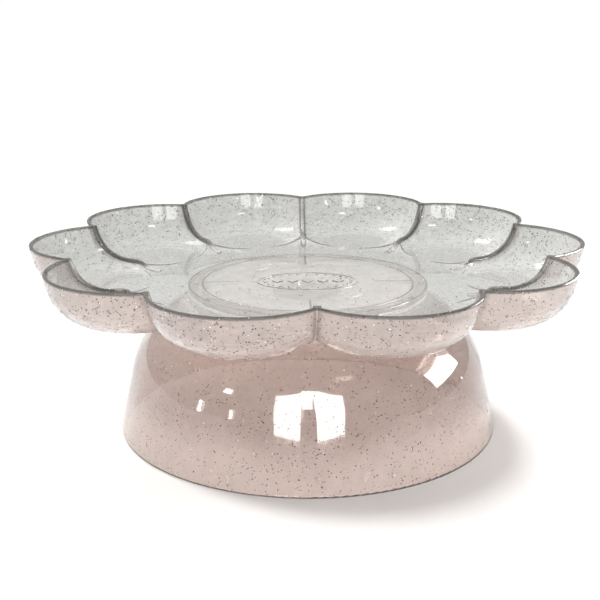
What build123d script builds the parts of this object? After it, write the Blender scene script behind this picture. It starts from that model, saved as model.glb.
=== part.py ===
"""Cake turntable: a ten-petalled dish turning on a ball race over a bowl-shaped foot.

All lengths are in millimetres. The origin is the centre of the foot's rim, on the table,
and +Z is up along the turning axis.
"""

from build123d import *
import os
from math import cos, pi, radians, sin, sqrt, tan

os.makedirs("parts", exist_ok=True)

# ---------------------------------------------------------------- driving dimensions

# Whole turntable
overall_height = 106.0

# Dish
petal_count = 10
petal_tip_radius = 155.0
scallop_depth = 20.0
petal_draft = 14.0
petal_corner_radius = 22.0
dish_depth = 24.0
dish_floor_radius = 88.0
dish_rise_radius = 41.0
dish_wall = 2.2
rim_round = 0.7

# Rounded ridges that stand in the valleys between the petals
ridge_radius = 1.9
ridge_shares = (1.0, 0.9, 0.76, 0.58, 0.32, 0.0)
ridge_run_in = 11.5
ridge_overrun = 1.0

# Ball race
ball_diameter = 4.0
ball_count = 12
ball_end_clearance = 0.05
race_radius = 63.2
cage_width = 5.6
cage_thickness = 2.4
cage_clearance = 0.3
pocket_clearance = 0.15
race_rib_width = 1.3
race_rib_depth = 2.0
track_land_height = 1.2

# Stiffening ribs and moulded ornament of the dish
hub_ring_radius = 40.0
rib_width = 1.2
rib_depth = 1.6
spoke_count = 4
oval_length = 58.0
oval_breadth = 38.0
oval_line = 1.4
relief_height = 0.6
lozenge_count = 5
lozenge_pitch = 8.6
lozenge_length = 6.4
lozenge_breadth = 8.0
bead_count = 28
bead_diameter = 1.5

# Foot
foot_radius = 108.0
foot_draft = 13.0
shoulder_radius = 50.0
foot_wall = 2.3
foot_edge_round = 0.7

# Pivot
well_radius = 20.0
well_depth = 8.0
hub_wall = 3.0
hub_length = 8.5
pin_diameter = 8.0
pin_running_clearance = 0.05
pin_grip = 10.0
pin_tail = 2.0
pin_chamfer = 0.6
boss_wall = 4.0
bush_wall = 2.0
bush_flange_radius = 9.0
bush_flange_thickness = 1.2
boss_gap = 0.6
washer_radius = 8.2
washer_thickness = 1.1
clip_radius = 7.4
clip_thickness = 1.1
clip_groove_depth = 0.8
clip_mouth = 4.6
clip_mouth_overrun = 1.0
stack_gap = 0.2
cap_wall = 1.5
cap_grip = 4.0
cap_end_gap = 1.5

# ---------------------------------------------------------------- derived sizes

petal_angle = 360.0 / petal_count
half_petal = radians(petal_angle / 2)
petal_cusp_radius = petal_tip_radius - scallop_depth

# One petal's rim is an arc through two cusps and a tip; this is that arc's radius and centre.
cusp_half_chord = petal_cusp_radius * sin(half_petal)
petal_sagitta = petal_tip_radius - petal_cusp_radius * cos(half_petal)
petal_radius = (cusp_half_chord**2 + petal_sagitta**2) / (2 * petal_sagitta)
petal_centre = petal_tip_radius - petal_radius

floor_top = overall_height - dish_depth
floor_under = floor_top - dish_wall

ball_radius = ball_diameter / 2
ball_level = floor_under - ball_end_clearance - ball_radius
track_top = ball_level - ball_radius - ball_end_clearance
deck_top = track_top - track_land_height
deck_under = deck_top - foot_wall
race_half_width = cage_width / 2 + cage_clearance
land_half_width = race_half_width + race_rib_width

pin_radius = pin_diameter / 2
bush_bore = pin_radius + pin_running_clearance
bush_radius = bush_bore + bush_wall
hub_radius = bush_radius + hub_wall
boss_radius = pin_radius + boss_wall
well_floor = deck_top - well_depth
hub_bottom = well_floor - hub_length
bush_top = well_floor + bush_flange_thickness
boss_bottom = bush_top + boss_gap
pin_top = min(boss_bottom + pin_grip, floor_top - dish_wall / 2)
washer_top = hub_bottom - stack_gap
washer_bottom = washer_top - washer_thickness
clip_top = washer_bottom
clip_bottom = clip_top - clip_thickness
clip_bore = pin_radius - clip_groove_depth
pin_bottom = clip_bottom - pin_tail
cap_inside = pin_bottom - cap_end_gap


# ---------------------------------------------------------------- shared shapes


def revolved_wall(base, corner, rim, corner_radius, lip):
    """Return the solid under a wall that runs across base, round a corner and on to its rim.

    A positive lip rounds the rim's edge inwards, and a negative one flares it outwards.
    """
    wall_direction = (Vector(*rim) - Vector(corner, base)).normalized()
    lip_start = Vector(*rim) - wall_direction * abs(lip)
    lip_end = Vector(rim[0] - lip, rim[1])
    with BuildPart() as blank:
        with BuildSketch(Plane.XZ):
            with BuildLine():
                Polyline((0, rim[1]), (0, base), (corner, base), lip_start)
                TangentArc(lip_start, lip_end, tangent=wall_direction)
                Line(lip_end, (0, rim[1]))
            section = make_face()
            nearest = section.vertices().sort_by_distance(Vector(corner, base))[0]
            fillet(nearest, corner_radius)
        revolve(axis=Axis.Z)
    return blank.part


def petal_blank(skin, lip):
    """Return one petal's solid about its own axis, skin thicker than the inner face."""
    slope = tan(radians(petal_draft))
    base = floor_top - skin
    rim_radius = petal_radius + (skin - dish_wall) / cos(radians(petal_draft))
    corner = rim_radius - (overall_height - base) * slope
    rim = (rim_radius, overall_height)
    return revolved_wall(base, corner, rim, petal_corner_radius + skin, lip)


def dish_blank(skin, lip):
    """Return the filled dish, floor and petals together, skin thicker than the inner face."""
    base = floor_top - skin
    rise = dish_rise_radius + skin
    rise_reach = sqrt(rise**2 - (dish_rise_radius - dish_depth) ** 2)
    petal = petal_blank(skin, lip)
    with BuildPart() as blank:
        with BuildSketch(Plane.XZ):
            with BuildLine():
                floor_line = Line((0, base), (dish_floor_radius, base))
                arc_end = (dish_floor_radius + rise_reach, overall_height)
                rise_arc = RadiusArc(floor_line @ 1, arc_end, -rise)
                top_line = Line(rise_arc @ 1, (0, overall_height))
                Line(top_line @ 1, floor_line @ 0)
            make_face()
        revolve(axis=Axis.Z)
        with PolarLocations(petal_centre, petal_count, start_angle=petal_angle / 2 - 90):
            add(petal)
    return blank.part


def petal_wall_level(reach):
    """Return the level of the middle of a petal's wall at a distance from the petal's axis."""
    skin = dish_wall / 2
    lean = radians(petal_draft)
    curve = petal_corner_radius + skin
    curve_level = floor_top - skin + curve
    rim_reach = petal_radius - skin / cos(lean)
    curve_centre = rim_reach - (overall_height - curve_level) * tan(lean) - curve / cos(lean)
    if reach > curve_centre + curve * cos(lean):
        return overall_height - (rim_reach - reach) / tan(lean)
    return curve_level - sqrt(curve**2 - (reach - curve_centre) ** 2)


def ridge_bead():
    """Return the round bead along one crest, from above the rim down to its end on the floor."""
    aside = petal_centre * sin(half_petal)
    waist = petal_centre * cos(half_petal)
    rim_reach = petal_radius - dish_wall / 2 / cos(radians(petal_draft))
    longest = sqrt(rim_reach**2 - aside**2)
    points = []
    for share in ridge_shares:
        beyond = share * longest
        points.append((waist + beyond, petal_wall_level(sqrt(beyond**2 + aside**2))))
    points.append((waist - ridge_run_in, floor_top - ridge_radius))
    first_fall = (points[1][0] - points[0][0], points[1][1] - points[0][1])
    outward = ridge_overrun * first_fall[0] / first_fall[1]
    start = (points[0][0] + outward, points[0][1] + ridge_overrun)
    with BuildPart() as bead:
        with BuildLine(Plane.XZ) as path:
            Spline(start, *points[1:], tangents=(first_fall, (-1, 0)))
        with BuildSketch(Plane(origin=path.line @ 0, z_dir=path.line % 0)):
            Circle(ridge_radius)
        sweep()
        with Locations(path.line @ 1):
            Sphere(ridge_radius)
        with BuildSketch(Plane.XY.offset(overall_height)):
            Circle(petal_tip_radius)
        extrude(amount=2 * ridge_radius, mode=Mode.SUBTRACT)
    return bead.part


def ring(low, high, inner, outer):
    """Return a plain ring about the turning axis between two levels, or a disc if inner is 0."""
    with BuildPart() as body:
        with BuildSketch(Plane.XY.offset(low)):
            Circle(outer)
            if inner > 0:
                Circle(inner, mode=Mode.SUBTRACT)
        extrude(amount=high - low)
    return body.part


# ---------------------------------------------------------------- dish

with BuildPart() as plate:
    add(dish_blank(dish_wall, rim_round))
    add(dish_blank(0.0, -rim_round), mode=Mode.SUBTRACT)
    ridge = ridge_bead()
    with PolarLocations(0, petal_count, start_angle=-90):
        add(ridge)
    # The race groove's two ribs, the ring rib and the boss grow from the middle of the floor.
    root = floor_top - dish_wall / 2
    rib_bottom = floor_under - rib_depth
    race_inner = race_radius - race_half_width
    race_outer = race_radius + race_half_width
    add(ring(floor_under - race_rib_depth, root, race_inner - race_rib_width, race_inner))
    add(ring(floor_under - race_rib_depth, root, race_outer, race_outer + race_rib_width))
    add(ring(rib_bottom, root, hub_ring_radius - rib_width, hub_ring_radius))
    spoke_length = race_inner - race_rib_width / 2 - hub_ring_radius + rib_width / 2
    with BuildSketch(Plane.XY.offset(rib_bottom)):
        with PolarLocations(hub_ring_radius - rib_width / 2, spoke_count):
            Rectangle(spoke_length, rib_width, align=(Align.MIN, Align.CENTER))
    extrude(amount=root - rib_bottom)
    add(ring(boss_bottom, root, 0, boss_radius))
    add(ring(boss_bottom, pin_top, 0, pin_radius), mode=Mode.SUBTRACT)
    # Plain ornament on the floor: an oval line, a ring of beads in it and a row of lozenges.
    with BuildSketch(Plane.XY.offset(floor_top - dish_wall / 2)):
        Ellipse(oval_length / 2, oval_breadth / 2)
        Ellipse(oval_length / 2 - oval_line, oval_breadth / 2 - oval_line, mode=Mode.SUBTRACT)
        half_length = lozenge_length / 2
        half_breadth = lozenge_breadth / 2
        with GridLocations(lozenge_pitch, 0, lozenge_count, 1):
            Polygon((half_length, 0), (0, half_breadth), (-half_length, 0), (0, -half_breadth))
        for index in range(bead_count):
            turn = 2 * pi * index / bead_count
            reach_x = oval_length / 2 - 3 * oval_line
            reach_y = oval_breadth / 2 - 3 * oval_line
            with Locations((reach_x * cos(turn), reach_y * sin(turn))):
                Circle(bead_diameter / 2)
    extrude(amount=dish_wall / 2 + relief_height)
plate.part.label = "plate"
export_step(plate.part, "parts/plate.step")

# ---------------------------------------------------------------- foot

foot_slope = tan(radians(foot_draft))
inner_foot_radius = foot_radius - foot_wall / cos(radians(foot_draft))


def bowl_blank(rim_radius, deck, corner_radius):
    """Return the foot's solid below a deck, as an upturned bowl standing on its rim."""
    with BuildPart() as blank:
        with BuildSketch(Plane.XZ):
            shoulder = (rim_radius - deck * foot_slope, deck)
            with BuildLine():
                Polyline((0, 0), (rim_radius, 0), shoulder, (0, deck), close=True)
            section = make_face()
            nearest = section.vertices().sort_by_distance(Vector(*shoulder))[0]
            fillet(nearest, corner_radius)
        revolve(axis=Axis.Z)
    return blank.part


with BuildPart() as base_bowl:
    add(bowl_blank(foot_radius, deck_top, shoulder_radius))
    # The track is a flat land raised on the shoulder, cut back below by the bowl's inside.
    land_inner = race_radius - land_half_width
    land_outer = race_radius + land_half_width
    add(ring(deck_under - foot_wall, track_top, land_inner, land_outer))
    add(
        bowl_blank(inner_foot_radius, deck_under, shoulder_radius - foot_wall),
        mode=Mode.SUBTRACT,
    )
    foot_edges = base_bowl.edges().group_by(Axis.Z)[0]
    fillet(foot_edges, foot_edge_round)
    add(ring(well_floor - foot_wall, deck_under + foot_wall / 2, 0, well_radius + foot_wall))
    add(ring(well_floor, deck_top, 0, well_radius), mode=Mode.SUBTRACT)
    add(ring(hub_bottom, well_floor, 0, hub_radius))
    add(ring(hub_bottom, well_floor, 0, bush_radius), mode=Mode.SUBTRACT)
base_bowl.part.label = "base_bowl"
export_step(base_bowl.part, "parts/base_bowl.step")

# ---------------------------------------------------------------- ball race

with BuildPart() as ball_cage:
    cage_low = ball_level - cage_thickness / 2
    cage_high = ball_level + cage_thickness / 2
    add(ring(cage_low, cage_high, race_radius - cage_width / 2, race_radius + cage_width / 2))
    with Locations((0, 0, ball_level)):
        with PolarLocations(race_radius, ball_count):
            Sphere(ball_radius + pocket_clearance, mode=Mode.SUBTRACT)
ball_cage.part.label = "ball_cage"
export_step(ball_cage.part, "parts/ball_cage.step")

for index in range(ball_count):
    turn = 2 * pi * index / ball_count
    with BuildPart() as ball:
        with Locations((race_radius * cos(turn), race_radius * sin(turn), ball_level)):
            Sphere(ball_radius)
    ball.part.label = "ball_%02d" % (index + 1)
    export_step(ball.part, "parts/%s.step" % ball.part.label)

# ---------------------------------------------------------------- pivot

with BuildPart() as centre_pin:
    add(ring(pin_bottom, pin_top, 0, pin_radius))
    add(ring(clip_bottom, clip_top, clip_bore, pin_radius), mode=Mode.SUBTRACT)
    chamfer(centre_pin.edges().group_by(Axis.Z)[0], pin_chamfer)
centre_pin.part.label = "centre_pin"
export_step(centre_pin.part, "parts/centre_pin.step")

with BuildPart() as pivot_bush:
    add(ring(hub_bottom, bush_top, bush_bore, bush_radius))
    add(ring(well_floor, bush_top, bush_bore, bush_flange_radius))
pivot_bush.part.label = "pivot_bush"
export_step(pivot_bush.part, "parts/pivot_bush.step")

with BuildPart() as thrust_washer:
    add(ring(washer_bottom, washer_top, bush_bore, washer_radius))
thrust_washer.part.label = "thrust_washer"
export_step(thrust_washer.part, "parts/thrust_washer.step")

with BuildPart() as retaining_clip:
    add(ring(clip_bottom, clip_top, clip_bore, clip_radius))
    with BuildSketch(Plane.XY.offset(clip_bottom)):
        Rectangle(clip_radius + clip_mouth_overrun, clip_mouth, align=(Align.MIN, Align.CENTER))
    extrude(amount=clip_thickness, mode=Mode.SUBTRACT)
retaining_clip.part.label = "retaining_clip"
export_step(retaining_clip.part, "parts/retaining_clip.step")

with BuildPart() as hub_cap:
    add(ring(cap_inside - cap_wall, hub_bottom + cap_grip, 0, hub_radius + cap_wall))
    add(ring(cap_inside, hub_bottom + cap_grip, 0, hub_radius), mode=Mode.SUBTRACT)
    cap_edges = hub_cap.edges().group_by(Axis.Z)[0]
    fillet(cap_edges, cap_wall / 2)
hub_cap.part.label = "hub_cap"
export_step(hub_cap.part, "parts/hub_cap.step")
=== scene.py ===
"""Cake turntable: the looks of a petalled dish of clear, glitter-flecked polystyrene on a rose foot.

Run as a script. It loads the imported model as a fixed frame, gives each moulding its material,
scatters glitter flakes over the mouldings' skins and sets the studio. Lengths are in Blender's
metres, apart from names that end in _mm or _MM and what is given to mm(), in millimetres.
"""

from math import cos, pi, radians, sin, tan

import bpy
import numpy as np
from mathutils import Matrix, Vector


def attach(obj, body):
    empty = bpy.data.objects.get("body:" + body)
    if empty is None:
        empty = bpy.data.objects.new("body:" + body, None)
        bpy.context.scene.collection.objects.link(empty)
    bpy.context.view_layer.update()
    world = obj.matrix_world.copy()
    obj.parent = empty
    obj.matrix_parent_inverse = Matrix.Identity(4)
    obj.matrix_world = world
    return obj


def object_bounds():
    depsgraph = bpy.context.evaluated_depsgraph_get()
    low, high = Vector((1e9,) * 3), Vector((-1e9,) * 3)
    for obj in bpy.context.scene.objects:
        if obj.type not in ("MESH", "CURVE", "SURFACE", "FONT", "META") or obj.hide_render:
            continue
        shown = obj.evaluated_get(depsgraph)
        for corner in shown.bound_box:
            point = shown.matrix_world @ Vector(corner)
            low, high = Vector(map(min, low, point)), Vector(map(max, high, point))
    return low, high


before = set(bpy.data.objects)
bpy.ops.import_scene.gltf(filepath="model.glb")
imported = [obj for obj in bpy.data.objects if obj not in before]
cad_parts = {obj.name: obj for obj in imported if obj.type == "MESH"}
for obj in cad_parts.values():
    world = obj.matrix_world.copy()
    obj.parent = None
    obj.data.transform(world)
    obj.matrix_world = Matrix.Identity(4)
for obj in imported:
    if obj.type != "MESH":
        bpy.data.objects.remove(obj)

bl_info = {
    "name": "Cake turntable looks",
    "version": (1, 0, 0),
    "blender": (4, 5, 0),
    "location": "3D View > Sidebar > Turntable",
    "description": "Materials, glitter and studio for a clear petalled cake turntable",
    "category": "Object",
}

CAD_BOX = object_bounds()

# Places on the mouldings, as the CAD has them. A pair is where something starts and ends.
PETALS = 10
RIM_HEIGHT = CAD_BOX[1][2]
# RIM_BELOW_MM and the RIDGE sizes bound the painted shade under the rim's top and down each cusp's
# ridge.
RIM_BELOW_MM = (1.9, 0.7)
RIDGE_REACH_MM = (96.0, 112.0)
RIDGE_HALF_LINE_MM = 1.2
RACE_RIBS_MM = (59.45, 66.95)
RACE_LEVELS_MM = (73.0, 81.0)
SPOKE_MIDDLE_MM = 49.5
SPOKE_HALF_LENGTH_MM = 7.0
# Half the width of the painted lines over the ribs and spokes.
RIB_HALF_LINE_MM = 0.4
DISC_EDGE_MM = (54.0, 66.0)
# Where the foot's painted lighter band by the rim fades out, up the wall.
LIT_HEM_MM = (12.0, 34.0)
SHOULDER_MM = (66.0, 73.0)

# How far up a face looks, as its normal's Z: where walls turn over and where faces are level.
TURNS_OVER = (-0.12, 0.12)
LEVEL = (0.9, 0.99)

# Glitter flakes: hexagons of this film, and sizes that lie on or just under the skin.
FLAKE_CORNERS = 6
FILM_THICKNESS_MM = 0.04
FLAKE_DEPTH_MM = (-0.03, 0.03)
FLAKE_LEAN = radians(12)
LEVEL_FACET = 0.95

FLOOR_HALF = 60.0
WINDOW_CENTRE = (0.0, 0.0, 0.045)
WINDOW_DISTANCE = 1.7
# Name, the moulding that mirrors it, bearing, rise, width and height in degrees, and radiance.
WINDOWS = (
    ("front_window_left", "foot", -13.5, 21.5, 16.0, 40.0, 11),
    ("front_window_middle", "foot", -1.5, 31.0, 5.5, 21.0, 11),
    ("front_window_right", "foot", 12.0, 21.5, 17.0, 40.0, 11),
    ("left_pane", "foot", -56.0, 28.0, 5.0, 5.0, 14),
    ("left_gap", "foot", -70.0, 6.0, 3.0, 9.0, 14),
    ("low_left_gap", "foot", -48.0, 6.0, 2.5, 9.0, 12),
    ("high_lamp", "foot", 30.0, 53.0, 10.0, 6.0, 14),
    ("left_blind", "dish", -13.5, 17.0, 16.0, 29.0, 3.6),
    ("right_blind", "dish", 12.0, 17.0, 17.0, 29.0, 3.6),
    ("left_glint", "dish", -56.0, 28.0, 5.0, 5.0, 8),
    ("high_glint", "dish", 30.0, 53.0, 10.0, 6.0, 8))
# A card close by the right-hand side, that every piece mirrors.
CARD_CENTRE = (0.064, -0.067, 0.052)
CARD_DISTANCE = 0.16
CARD = ("side_card", 104.0, 24.0, 34.0, 30.0, 14)

# Settings that the node function takes.
PLUS = {"operation": "ADD"}
MINUS = {"operation": "SUBTRACT"}
TIMES = {"operation": "MULTIPLY"}
LEAST = {"operation": "MINIMUM"}
MOST = {"operation": "MAXIMUM"}
UNSIGNED = {"operation": "ABSOLUTE"}
EASED = {"interpolation_type": "SMOOTHSTEP"}
COLOUR = {"data_type": "RGBA"}


def mm(length):
    """Turn millimetres into metres."""
    return length * 0.001


# ---------------------------------------------------------------- nodes, colours and materials


def linear(hex_colour):
    """Turn an sRGB hex colour such as '#C8B4AC' into linear RGBA."""
    text = hex_colour.lstrip("#")
    channels = [int(text[i:i + 2], 16) / 255 for i in (0, 2, 4)]
    return [c / 12.92 if c <= 0.04045 else ((c + 0.055) / 1.055) ** 2.4 for c in channels] + [1.0]


def node(tree, kind, settings=None, stops=(), **inputs):
    """Add a shader node, set its properties and its ramp, then set or link its inputs.

    stops are a ramp's (position, RGBA) pairs. An input is named by its socket with spaces as
    underscores, or by _0, _1 for its number. A node given as an input is linked from the first
    output that it has in use.
    """
    made = tree.nodes.new("ShaderNode" + kind)
    for name, value in (settings or {}).items():
        setattr(made, name, value)
    while stops and len(made.color_ramp.elements) < len(stops):
        made.color_ramp.elements.new(0.5)
    for index, (position, colour) in enumerate(stops):
        made.color_ramp.elements[index].position = position
        made.color_ramp.elements[index].color = colour
    for name, value in inputs.items():
        socket = made.inputs[int(name[1:]) if name[0] == "_" else name.replace("_", " ")]
        if isinstance(value, bpy.types.Node):
            value = next(output for output in value.outputs if output.enabled)
        if isinstance(value, bpy.types.NodeSocket):
            tree.links.new(value, socket)
        else:
            socket.default_value = value
    return made


def new_material(name):
    """Return an empty node material and its tree."""
    material = bpy.data.materials.new(name)
    material.use_nodes = True
    material.node_tree.nodes.clear()
    return material, material.node_tree


def finish_material(tree, surface):
    """Link the last shader to the material's output and lay the nodes out in rows."""
    node(tree, "OutputMaterial", Surface=surface)
    for index, made in enumerate(tree.nodes):
        made.location = (220 * (index % 6), -260 * (index // 6))


def dress(name, material):
    """Give a CAD node one material."""
    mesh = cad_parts[name].data
    mesh.materials.clear()
    mesh.materials.append(material)


def moulded_polystyrene(name, tint_of, haze, ripple_mm, scuff, lamp_way):
    """Crystal polystyrene, injection moulded and polished by its mould.

    It is clear and glassy with sharp highlights, slow ripples left by the flow of the melt and a
    pale haze where fine flakes scatter the light. tint_of returns its tint and its haze from the
    tree, the place and how far up a face looks, and haze is what it starts from. lamp_way is the
    tint it gives the light that passes through to the table.
    """
    material, tree = new_material(name)
    place = node(tree, "TexCoord").outputs["Object"]
    ripple = node(tree, "TexNoise", Vector=place, Scale=1 / mm(ripple_mm), Detail=1.5,
                  Roughness=0.4)
    bump = node(tree, "Bump", Strength=0.35, Distance=mm(0.12), Height=ripple)
    scuffs = node(tree, "TexNoise", Vector=place, Scale=1 / mm(1.6), Detail=3.0, Roughness=0.65)
    gloss = node(tree, "MapRange", EASED, Value=scuffs, From_Min=0.45, From_Max=0.75,
                 To_Min=scuff, To_Max=scuff + 0.05)
    cloud = node(tree, "TexNoise", Vector=place, Scale=1 / mm(9.0), Detail=3.0, Roughness=0.6)
    cloudy = node(tree, "MapRange", EASED, Value=cloud, From_Min=0.3, From_Max=0.7,
                  To_Min=haze - 0.04, To_Max=haze + 0.04)
    shape = node(tree, "NewGeometry").outputs
    facing = node(tree, "SeparateXYZ", _0=shape["Normal"]).outputs["Z"]
    tint, scattered = tint_of(tree, place, facing, cloudy)
    clear = node(tree, "Math", MINUS, _0=1.0, _1=scattered)
    through = node(tree, "Math", MOST, _0=clear, _1=shape["Backfacing"])
    glass = node(tree, "BsdfPrincipled", Base_Color=tint, Metallic=0.0, IOR=1.59,
                 Roughness=gloss, Transmission_Weight=through, Normal=bump)
    to_lamp = node(tree, "BsdfTransparent", Color=linear(lamp_way))
    shadow = node(tree, "LightPath").outputs["Is Shadow Ray"]
    finish_material(tree, node(tree, "MixShader", _0=shadow, _1=glass, _2=to_lamp))
    return material


def near_line(tree, value, centre, half_width):
    """Return 1 where value is within half_width of centre, easing to 0 at twice that."""
    apart = node(tree, "Math", UNSIGNED, _0=node(tree, "Math", MINUS, _0=value, _1=centre))
    return node(tree, "MapRange", EASED, Value=apart, From_Min=half_width,
                From_Max=2 * half_width, To_Min=1.0, To_Max=0.0)


def painted_ridge_shade(tree, place, facing, reach, turn):
    """Return the share of painted shade on the ridge down each cusp: strongest on its flanks, where
    a round rod of clear plastic looks dark.
    """
    off_ridge = node(tree, "Math", {"operation": "PINGPONG"},
                     _0=node(tree, "Math", PLUS, _0=turn, _1=3.5 * pi), _1=pi / PETALS)
    aside = node(tree, "Math", TIMES, _0=off_ridge, _1=reach)
    line = near_line(tree, aside, 0.0, mm(RIDGE_HALF_LINE_MM))
    run = node(tree, "MapRange", EASED, Value=reach, From_Min=mm(RIDGE_REACH_MM[0]),
               From_Max=mm(RIDGE_REACH_MM[1]))
    # Painted shade, stronger on faces that look up, into the dish.
    inner = node(tree, "MapRange", EASED, Value=facing, From_Min=-0.25, From_Max=0.05,
                 To_Min=0.3, To_Max=1.0)
    outward = node(tree, "VectorMath", TIMES, _0=place, _1=(1, 1, 0))
    round_axis = node(tree, "VectorMath", {"operation": "CROSS_PRODUCT"}, _0=outward,
                      _1=(0, 0, 1))
    across = node(tree, "VectorMath", {"operation": "DOT_PRODUCT"},
                  _0=node(tree, "VectorMath", {"operation": "NORMALIZE"}, _0=round_axis),
                  _1=node(tree, "TexCoord").outputs["Normal"])
    flank = node(tree, "MapRange", EASED, Value=node(tree, "Math", UNSIGNED, _0=across),
                 From_Min=0.3, From_Max=0.75, To_Min=0.25, To_Max=1.0)
    ridge = node(tree, "Math", TIMES, _0=node(tree, "Math", TIMES, _0=line, _1=run), _1=inner)
    return node(tree, "Math", TIMES, _0=ridge, _1=flank)


def rib_share(tree, east, north, reach):
    """Return 1 over the race's two ribs and the four spokes: painted dark lines on the floor that
    stand in for how the ribs under it show through.
    """
    half_line = mm(RIB_HALF_LINE_MM)
    inner, outer = (near_line(tree, reach, mm(rib), half_line) for rib in RACE_RIBS_MM)
    off_spoke = node(tree, "Math", LEAST, _0=node(tree, "Math", UNSIGNED, _0=east),
                     _1=node(tree, "Math", UNSIGNED, _0=north))
    spoke = node(tree, "Math", TIMES, _0=near_line(tree, off_spoke, 0.0, half_line),
                 _1=near_line(tree, reach, mm(SPOKE_MIDDLE_MM), mm(SPOKE_HALF_LENGTH_MM)))
    return node(tree, "Math", MOST, _0=node(tree, "Math", MOST, _0=inner, _1=outer), _1=spoke)


def dish_tint(sizes):
    """Return the dish's tint: neutral inside; rosy outside, a painted colour of the table seen
    through from below; and dark painted shade on the rims and ridges, where clear plastic looks
    dark.
    """
    def tint_of(tree, place, facing, haze):
        east, north, up = node(tree, "SeparateXYZ", _0=place).outputs
        flat_place = node(tree, "VectorMath", TIMES, _0=place, _1=(1, 1, 0))
        reach = node(tree, "VectorMath", {"operation": "LENGTH"}, _0=flat_place)
        turn = node(tree, "Math", {"operation": "ARCTAN2"}, _0=north, _1=east)
        # Painted shade: a dark band just under the rim's top.
        rim = node(tree, "MapRange", EASED, Value=up, From_Min=RIM_HEIGHT - mm(RIM_BELOW_MM[0]),
                   From_Max=RIM_HEIGHT - mm(RIM_BELOW_MM[1]))
        painted_edge_shade = node(tree, "Math", MOST, _0=painted_ridge_shade(tree, place, facing, reach, turn), _1=rim)
        flat = node(tree, "MapRange", EASED, Value=facing, From_Min=LEVEL[0], From_Max=LEVEL[1])
        ribs = node(tree, "Math", TIMES, _0=rib_share(tree, east, north, reach), _1=flat)
        upward = node(tree, "Mix", COLOUR, _0=flat, _6=linear(sizes.inside),
                      _7=linear(sizes.floor))
        # Painted dark lines over the ribs and spokes under the floor, in the painted shade tint,
        # standing in for how they show through.
        lined = node(tree, "Mix", COLOUR, _0=node(tree, "Math", TIMES, _0=ribs, _1=0.6),
                     _6=upward, _7=linear(sizes.edges))
        # Painted colour: faces that look down take the rosy outside tint, the pink of the table seen
        # through them.
        side = node(tree, "MapRange", EASED, Value=facing, From_Min=TURNS_OVER[0],
                    From_Max=TURNS_OVER[1])
        skin = node(tree, "Mix", COLOUR, _0=side, _6=linear(sizes.outside), _7=lined)
        thinned = node(tree, "MapRange", EASED, Value=facing, From_Min=LEVEL[0],
                       From_Max=LEVEL[1], To_Min=1.0, To_Max=0.7)
        disc = node(tree, "MapRange", EASED, Value=reach, From_Min=mm(DISC_EDGE_MM[0]),
                    From_Max=mm(DISC_EDGE_MM[1]), To_Min=0.3, To_Max=0.0)
        even = node(tree, "Math", PLUS, _0=node(tree, "Math", TIMES, _0=haze, _1=thinned),
                    _1=node(tree, "Math", TIMES, _0=flat, _1=disc))
        # Where there is painted shade, its dark tint replaces the skin's and the haze rises, so that
        # it shows.
        return (node(tree, "Mix", COLOUR, _0=painted_edge_shade, _6=skin, _7=linear(sizes.edges)),
                node(tree, "Math", MOST, _0=even,
                     _1=node(tree, "Math", TIMES, _0=painted_edge_shade, _1=0.6)))
    return tint_of


def foot_tint(sizes):
    """Return the foot's tint: rosy, with painted light making it paler by the rim where the lit
    table shows through, and fading to milky over the shoulder.
    """
    def tint_of(tree, place, facing, haze):
        up = node(tree, "SeparateXYZ", _0=place).outputs["Z"]
        # Painted light: the outer wall is paler towards the rim, where the lit table shows through.
        above_lit_hem = node(tree, "MapRange", EASED, Value=up, From_Min=mm(LIT_HEM_MM[0]),
                         From_Max=mm(LIT_HEM_MM[1]))
        wall = node(tree, "Mix", COLOUR, _0=above_lit_hem, _6=linear(sizes.lit_hem),
                    _7=linear(sizes.outside))
        side = node(tree, "MapRange", EASED, Value=facing, From_Min=TURNS_OVER[0],
                    From_Max=TURNS_OVER[1])
        skin = node(tree, "Mix", COLOUR, _0=side, _6=linear(sizes.inside), _7=wall)
        over = node(tree, "MapRange", EASED, Value=up, From_Min=mm(SHOULDER_MM[0]),
                    From_Max=mm(SHOULDER_MM[1]))
        milky = node(tree, "Math", TIMES, _0=over, _1=0.85)
        return (node(tree, "Mix", COLOUR, _0=over, _6=skin, _7=linear(sizes.shoulder)),
                node(tree, "Math", MOST, _0=haze, _1=milky))
    return tint_of


def even_tint(colour):
    """Return one tint all over."""
    def tint_of(tree, place, facing, haze):
        return linear(colour), haze
    return tint_of


def metallised_film(name, dark, bright):
    """Glitter of metallised polyester film, die cut: most flakes lie dark and a few sparkle."""
    material, tree = new_material(name)
    flake = node(tree, "NewGeometry").outputs["Random Per Island"]
    shade = node(tree, "ValToRGB", _0=flake, stops=(
        (0.0, linear(dark)), (0.82, linear(dark)), (0.95, linear(bright)), (1.0, linear(bright))))
    finish_material(tree, node(tree, "BsdfPrincipled", Base_Color=shade, Metallic=0.9,
                               Roughness=0.35))
    return material


def natural_acetal(name, colour, pale):
    """Acetal, injection moulded and undyed: milky and waxy, with a faint cloud and fine grain."""
    material, tree = new_material(name)
    place = node(tree, "TexCoord").outputs["Object"]
    cloud = node(tree, "TexNoise", Vector=place, Scale=1 / mm(4.0), Detail=2.0)
    shade = node(tree, "ValToRGB", _0=cloud, stops=((0.3, linear(colour)), (0.7, linear(pale))))
    grain = node(tree, "TexNoise", Vector=place, Scale=1 / mm(0.4), Detail=2.0)
    bump = node(tree, "Bump", Strength=0.2, Distance=mm(0.02), Height=grain)
    finish_material(tree, node(tree, "BsdfPrincipled", Base_Color=shade, Roughness=0.38,
                               IOR=1.48, Normal=bump))
    return material


# ---------------------------------------------------------------- meshes


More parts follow.
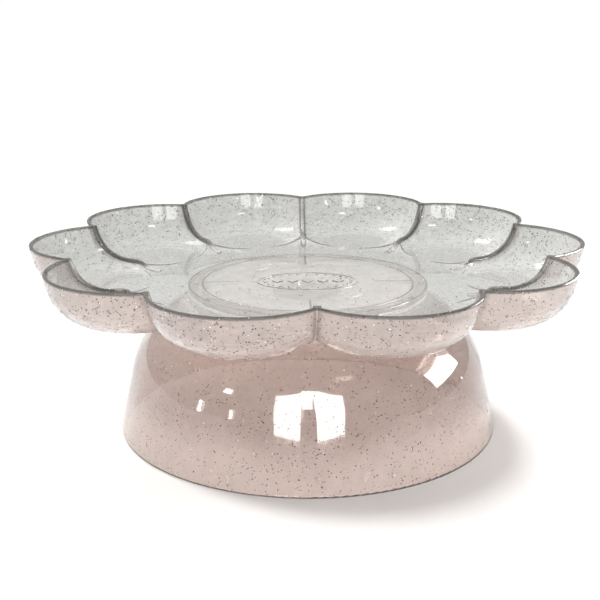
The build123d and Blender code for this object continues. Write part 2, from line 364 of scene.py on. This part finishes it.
def wall_triangles(name):
    """Return a CAD node's triangles as an array of corners, in metres."""
    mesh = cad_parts[name].data
    mesh.calc_loop_triangles()
    corners = np.empty(len(mesh.loop_triangles) * 3, np.int32)
    mesh.loop_triangles.foreach_get("vertices", corners)
    places = np.empty(len(mesh.vertices) * 3, np.float32)
    mesh.vertices.foreach_get("co", places)
    return places.reshape(-1, 3)[corners.reshape(-1, 3)].astype(float)


def outside_race(places):
    """Return which places are clear of the race, where the balls run."""
    reach_mm = np.hypot(places[:, 0], places[:, 1]) / mm(1)
    level_mm = places[:, 2] / mm(1)
    return ((reach_mm < RACE_RIBS_MM[0]) | (reach_mm > RACE_RIBS_MM[1])
            | (level_mm < RACE_LEVELS_MM[0]) | (level_mm > RACE_LEVELS_MM[1]))


def flake_mesh(name, places, facing, along, radius):
    """Return one mesh of hexagonal flakes: their middles, the ways they face and their sizes."""
    aside = np.cross(facing, along)
    corners = []
    for side in (-1, 1):
        for corner in range(FLAKE_CORNERS):
            turn = 2 * pi * corner / FLAKE_CORNERS
            corners.append(places + radius[:, None] * (cos(turn) * along + sin(turn) * aside)
                           + side * mm(FILM_THICKNESS_MM / 2) * facing)
    faces = []
    for start in range(0, len(places) * 2 * FLAKE_CORNERS, 2 * FLAKE_CORNERS):
        top = start + FLAKE_CORNERS
        faces.append([start + corner for corner in reversed(range(FLAKE_CORNERS))])
        faces.append([top + corner for corner in range(FLAKE_CORNERS)])
        for corner in range(FLAKE_CORNERS):
            after = (corner + 1) % FLAKE_CORNERS
            faces.append([start + corner, start + after, top + after, top + corner])
    mesh = bpy.data.meshes.new(name)
    mesh.from_pydata(np.stack(corners, 1).reshape(-1, 3).tolist(), [], faces)
    return mesh


def scatter_flakes(piece_name, cad_name, count, seed, across_mm, level_share):
    """Scatter glitter flakes over a moulding's skin, lying along it as the melt's flow lays them.

    across_mm is the least and most size, and level_share is how dense the flakes are
    on level faces. None lies in the race, where the balls run.
    """
    random = np.random.default_rng(seed)
    triangles = wall_triangles(cad_name)
    normals = np.cross(triangles[:, 1] - triangles[:, 0], triangles[:, 2] - triangles[:, 0])
    areas = np.linalg.norm(normals, axis=1)
    shares = areas * np.where(np.abs(normals[:, 2]) > LEVEL_FACET * areas, level_share, 1.0)
    picked = random.choice(len(triangles), count, p=shares / shares.sum())
    first, second = np.sort(random.random((2, count)), axis=0)
    chosen = triangles[picked]
    places = (chosen[:, 0] * first[:, None] + chosen[:, 1] * (second - first)[:, None]
              + chosen[:, 2] * (1 - second)[:, None])
    facing = normals[picked] / areas[picked, None]
    places -= facing * mm(random.uniform(*FLAKE_DEPTH_MM, count))[:, None]
    kept = outside_race(places)
    places, facing, count = places[kept], facing[kept], np.count_nonzero(kept)
    facing += random.normal(size=(count, 3)) * sin(FLAKE_LEAN)
    facing /= np.linalg.norm(facing, axis=1)[:, None]
    along = np.cross(facing, random.normal(size=(count, 3)))
    along /= np.linalg.norm(along, axis=1)[:, None]
    radius = mm(random.uniform(*across_mm, count) / 2)
    piece = bpy.data.objects.new(piece_name, flake_mesh(piece_name, places, facing, along,
                                                        radius))
    bpy.context.scene.collection.objects.link(piece)
    return piece


# ---------------------------------------------------------------- sizes and colours


class TurntableDish(bpy.types.PropertyGroup):
    """What a user would change on the dish."""
    # The dish's outside tint is a painted colour: the pink of the table seen through the petals.
    outside: bpy.props.StringProperty(
        name="Outside tint", description="sRGB tint of the outer faces", default="#EDDDD6")
    inside: bpy.props.StringProperty(
        name="Inside tint", description="sRGB tint of the inner faces", default="#E2E2DF")
    floor: bpy.props.StringProperty(
        name="Floor tint", description="sRGB tint of the flat floor", default="#D9D9D6")
    # This tint is the colour of the painted shade on the rims and ridges, and of the painted lines
    # over the race's ribs.
    edges: bpy.props.StringProperty(
        name="Edge tint", description="sRGB tint of the thick rims and ridges", default="#857F79")
    haze: bpy.props.FloatProperty(
        name="Haze", description="Share of light the plastic scatters", default=0.45,
        subtype="FACTOR")
    flakes: bpy.props.IntProperty(
        name="Flakes", description="How many glitter flakes are in the dish", default=22000)


class TurntableFoot(bpy.types.PropertyGroup):
    """What a user would change on the foot."""
    outside: bpy.props.StringProperty(
        name="Outside tint", description="sRGB tint of the outer faces", default="#D3C2BB")
    inside: bpy.props.StringProperty(
        name="Inside tint", description="sRGB tint of the inner faces", default="#CFC2BD")
    # This tint is painted light: the outer wall by the rim shows paler where the lit table shows
    # through.
    lit_hem: bpy.props.StringProperty(
        name="Hem tint", description="sRGB tint of the outer face by the rim", default="#ECDED7")
    shoulder: bpy.props.StringProperty(
        name="Shoulder tint", description="sRGB tint over the shoulder and deck",
        default="#F4F4F3")
    haze: bpy.props.FloatProperty(
        name="Haze", description="Share of light the plastic scatters", default=0.26,
        subtype="FACTOR")
    flakes: bpy.props.IntProperty(
        name="Flakes", description="How many glitter flakes are in the foot", default=7500)


class TurntableStudio(bpy.types.PropertyGroup):
    """The studio's camera and light."""
    distance: bpy.props.FloatProperty(
        name="Distance", description="Camera to the point it looks at", default=mm(599.7),
        unit="LENGTH")
    elevation: bpy.props.FloatProperty(
        name="Elevation", description="Camera above the horizon", default=radians(16.03),
        subtype="ANGLE")
    azimuth: bpy.props.FloatProperty(
        name="Azimuth", description="Camera round from the front, towards +X",
        default=radians(-1.31), subtype="ANGLE")
    lens: bpy.props.FloatProperty(
        name="Lens", description="Focal length on a 36 mm wide sensor, in millimetres",
        default=63.05)
    aim_aside: bpy.props.FloatProperty(
        name="Aim aside", description="The point looked at, along X", default=mm(-4.4),
        unit="LENGTH")
    aim_height: bpy.props.FloatProperty(
        name="Aim height", description="The point looked at, above the table",
        default=mm(70.9), unit="LENGTH")


# ---------------------------------------------------------------- operators


class TURNTABLE_OT_dish(bpy.types.Operator):
    """Give the dish its clear polystyrene and its glitter"""
    bl_idname = "turntable.dish"
    bl_label = "Dish"

    def execute(self, context):
        sizes = context.scene.turntable_dish
        dress("plate", moulded_polystyrene("clear_moulded_polystyrene", dish_tint(sizes),
                                           sizes.haze, 22.0, 0.02, "#ECECEB"))
        film = metallised_film("silver_film_glitter", "#3C3632", "#F2EEEA")
        flakes = scatter_flakes("dish_glitter", "plate", sizes.flakes, 3, (0.4, 0.85), 0.35)
        flakes.data.materials.append(film)
        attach(flakes, "dish")
        return {"FINISHED"}


class TURNTABLE_OT_foot(bpy.types.Operator):
    """Give the foot its rose polystyrene and its glitter"""
    bl_idname = "turntable.foot"
    bl_label = "Foot"

    def execute(self, context):
        sizes = context.scene.turntable_foot
        rose = moulded_polystyrene("rose_moulded_polystyrene", foot_tint(sizes), sizes.haze,
                                   30.0, 0.03, "#A3A2A1")
        for name in ("base_bowl", "hub_cap"):
            dress(name, rose)
        film = metallised_film("bronze_film_glitter", "#4A3C36", "#FFF4EC")
        flakes = scatter_flakes("foot_glitter", "base_bowl", sizes.flakes, 5, (0.4, 0.8), 1.0)
        flakes.data.materials.append(film)
        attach(flakes, "foot")
        return {"FINISHED"}


class TURNTABLE_OT_race(bpy.types.Operator):
    """Give the ball race and the pivot their plastics"""
    bl_idname = "turntable.race"
    bl_label = "Ball race and pivot"

    def execute(self, context):
        clear = moulded_polystyrene("clear_acrylic", even_tint("#F2F1EE"), 0.1, 14.0, 0.02,
                                    "#F4F4F3")
        milky = natural_acetal("natural_moulded_acetal", "#D8D3CB", "#E4E1DB")
        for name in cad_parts:
            if name.startswith("ball_") or name == "centre_pin":
                dress(name, clear)
        for name in ("pivot_bush", "thrust_washer", "retaining_clip"):
            dress(name, milky)
        return {"FINISHED"}


def hang_window(name, seen_from, away, seen_in, bearing, rise, width, height, glow):
    """Hang a bright window, seen only as a reflection, away from the place it is seen from.

    seen_in is the collection of pieces that mirror it, or None for all. bearing is round from
    the front, rise is above the table, width and height are the angles it fills, all in degrees,
    and glow is its radiance.
    """
    light = bpy.data.lights.new(name, "AREA")
    light.shape = "RECTANGLE"
    light.size = 2 * away * tan(radians(width) / 2)
    light.size_y = 2 * away * tan(radians(height) / 2)
    light.energy = glow * pi * light.size * light.size_y
    lamp = bpy.data.objects.new(name, light)
    bpy.context.scene.collection.objects.link(lamp)
    bearing, rise = radians(bearing), radians(rise)
    side = Vector((sin(bearing) * cos(rise), -cos(bearing) * cos(rise), sin(rise)))
    lamp.location = Vector(seen_from) + away * side
    lamp.rotation_euler = (-side).to_track_quat("-Z", "Y").to_euler()
    lamp.visible_diffuse = False
    lamp.light_linking.receiver_collection = seen_in


def lay_floor(scene):
    """Lay a wide floor of matt white paper, which takes a soft shadow."""
    mesh = bpy.data.meshes.new("floor")
    corners = [(x * FLOOR_HALF, y * FLOOR_HALF, 0) for x, y in ((-1, -1), (1, -1), (1, 1), (-1, 1))]
    mesh.from_pydata(corners, [], [(0, 1, 2, 3)])
    floor = bpy.data.objects.new("floor", mesh)
    scene.collection.objects.link(floor)
    material, tree = new_material("matt_white_paper")
    finish_material(tree, node(tree, "BsdfPrincipled", Base_Color=linear("#F1F2F3"),
                               Roughness=0.9))
    mesh.materials.append(material)


def paint_walls(scene):
    """Surround the studio with grey walls, white where they meet the floor."""
    world = bpy.data.worlds.new("studio_walls")
    world.use_nodes = True
    tree = world.node_tree
    tree.nodes.clear()
    up = node(tree, "SeparateXYZ", _0=node(tree, "TexCoord").outputs["Generated"]).outputs["Z"]
    sky = node(tree, "ValToRGB", _0=up, stops=(
        (0.0, linear("#FFFFFF")), (0.004, linear("#FFFFFF")), (0.01, linear("#B9B9B8")),
        (1.0, linear("#C4C4C3"))))
    walls = node(tree, "Background", Color=sky, Strength=1.0)
    node(tree, "OutputWorld", Surface=walls)
    scene.world = world


def hang_lights(scene):
    """Hang the soft main light and the windows that the glossy mouldings mirror."""
    sun = bpy.data.lights.new("sky_window", "SUN")
    sun.energy = 3.1
    sun.angle = radians(18)
    lamp = bpy.data.objects.new("sky_window", sun)
    scene.collection.objects.link(lamp)
    lamp.rotation_euler = Vector((0.52, -0.75, -1.0)).to_track_quat("-Z", "Y").to_euler()
    lamp.visible_glossy = False
    mirrors = {part: bpy.data.collections.new(part + "_windows") for part in ("foot", "dish")}
    for name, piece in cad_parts.items():
        part = "foot" if name in ("base_bowl", "hub_cap") else "dish"
        mirrors[part].objects.link(piece)
    for name, part, *aim_and_glow in WINDOWS:
        hang_window(name, WINDOW_CENTRE, WINDOW_DISTANCE, mirrors[part], *aim_and_glow)
    name, *aim_and_glow = CARD
    hang_window(name, CARD_CENTRE, CARD_DISTANCE, None, *aim_and_glow)


def set_camera(scene, sizes):
    """Set the camera down at the front, looking a little down on the dish."""
    camera = bpy.data.cameras.new("camera")
    camera.lens = sizes.lens
    eye = bpy.data.objects.new("camera", camera)
    scene.collection.objects.link(eye)
    aim = Vector((sizes.aim_aside, 0, sizes.aim_height))
    reach = sizes.distance * cos(sizes.elevation)
    eye.location = aim + Vector((reach * sin(sizes.azimuth), -reach * cos(sizes.azimuth),
                                 sizes.distance * sin(sizes.elevation)))
    eye.rotation_euler = (aim - eye.location).to_track_quat("-Z", "Y").to_euler()
    scene.camera = eye


class TURNTABLE_OT_studio(bpy.types.Operator):
    """Set the pale floor, the soft lights and the camera"""
    bl_idname = "turntable.studio"
    bl_label = "Studio"

    def execute(self, context):
        scene = context.scene
        scene.view_settings.view_transform = "Standard"
        lay_floor(scene)
        paint_walls(scene)
        hang_lights(scene)
        set_camera(scene, scene.turntable_studio)
        return {"FINISHED"}


class TURNTABLE_PT_panel(bpy.types.Panel):
    """Lists the turntable's steps and values"""
    bl_idname = "TURNTABLE_PT_panel"
    bl_label = "Cake turntable"
    bl_space_type = "VIEW_3D"
    bl_region_type = "UI"
    bl_category = "Turntable"

    def draw(self, context):
        scene = context.scene
        for step, group in STEPS:
            self.layout.operator(step)
            if group:
                values = getattr(scene, group)
                for name in values.__annotations__:
                    self.layout.prop(values, name)


STEPS = (("turntable.studio", "turntable_studio"), ("turntable.dish", "turntable_dish"),
         ("turntable.foot", "turntable_foot"), ("turntable.race", ""))
GROUPS = {"turntable_dish": TurntableDish, "turntable_foot": TurntableFoot,
          "turntable_studio": TurntableStudio}
CLASSES = (*GROUPS.values(), TURNTABLE_OT_studio, TURNTABLE_OT_dish, TURNTABLE_OT_foot,
           TURNTABLE_OT_race, TURNTABLE_PT_panel)


def register():
    """Register the classes and put the values on the scene."""
    for made in CLASSES:
        bpy.utils.register_class(made)
    for name, group in GROUPS.items():
        setattr(bpy.types.Scene, name, bpy.props.PointerProperty(type=group))


def unregister():
    """Take the values and the classes away again."""
    for name in GROUPS:
        delattr(bpy.types.Scene, name)
    for made in reversed(CLASSES):
        bpy.utils.unregister_class(made)


def main():
    """Run every step in order."""
    register()
    for step, _ in STEPS:
        family, name = step.split(".")
        getattr(getattr(bpy.ops, family), name)()


if __name__ == "__main__":
    main()
